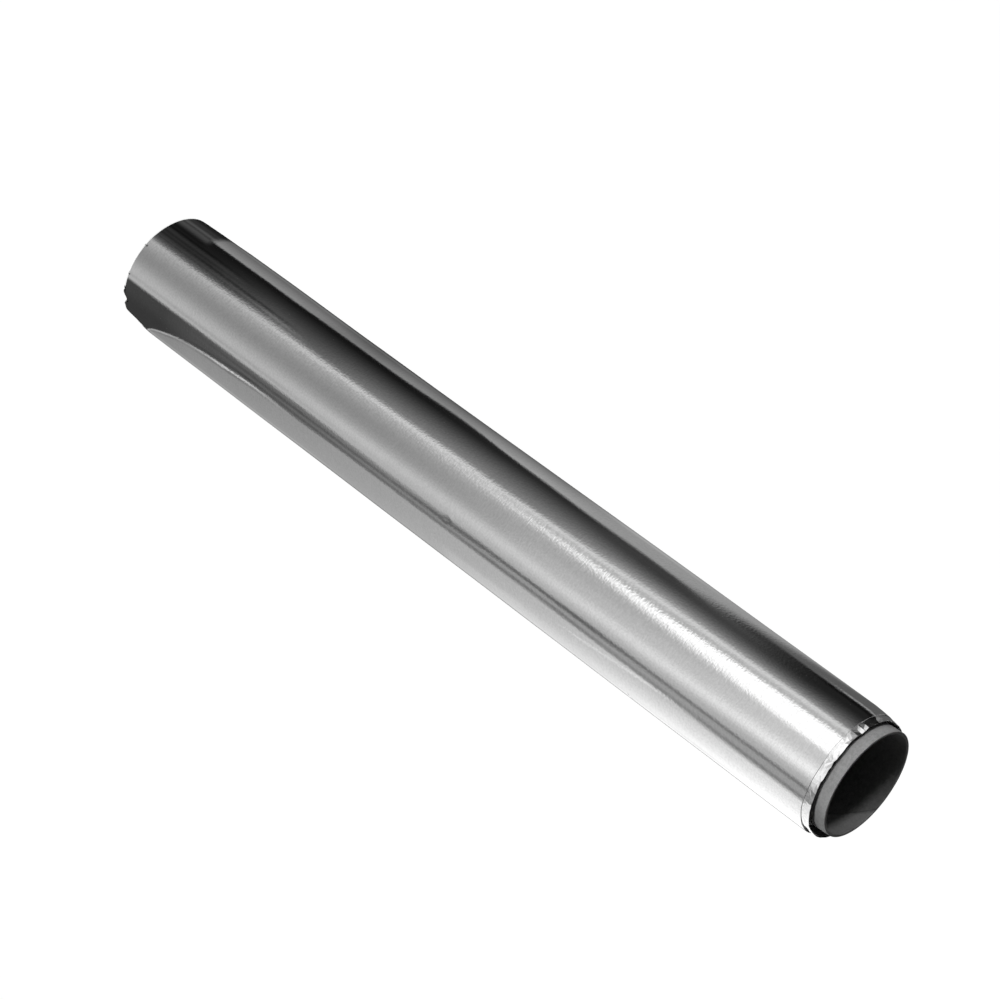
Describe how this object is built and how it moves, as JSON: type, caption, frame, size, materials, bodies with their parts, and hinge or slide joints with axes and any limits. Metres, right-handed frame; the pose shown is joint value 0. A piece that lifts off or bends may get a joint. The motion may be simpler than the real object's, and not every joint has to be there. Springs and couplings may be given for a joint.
{
  "type": "aluminium foil roll",
  "caption": "Slender kitchen roll of bright aluminium foil on a thin grey paperboard core, with a crumpled rim and the core standing out at its open end.",
  "frame": {"origin": "centre of the even end that the roll stands on, at the height of the surface below it", "axes": "+Z along the roll's axis towards the open end, +X towards the side that the picture shows in front, +Y towards the picture's lower edge of the roll"},
  "size_m": [0.0408, 0.0409, 0.306],
  "materials": {
    "core_board": "matte grey paperboard, wound on the slant",
    "foil": "bright rolled foil with fine rolling lines"
  },
  "bodies": {
    "root": {"core_tube": "core_board", "foil_winding": "foil"}
  },
  "joints": []
}
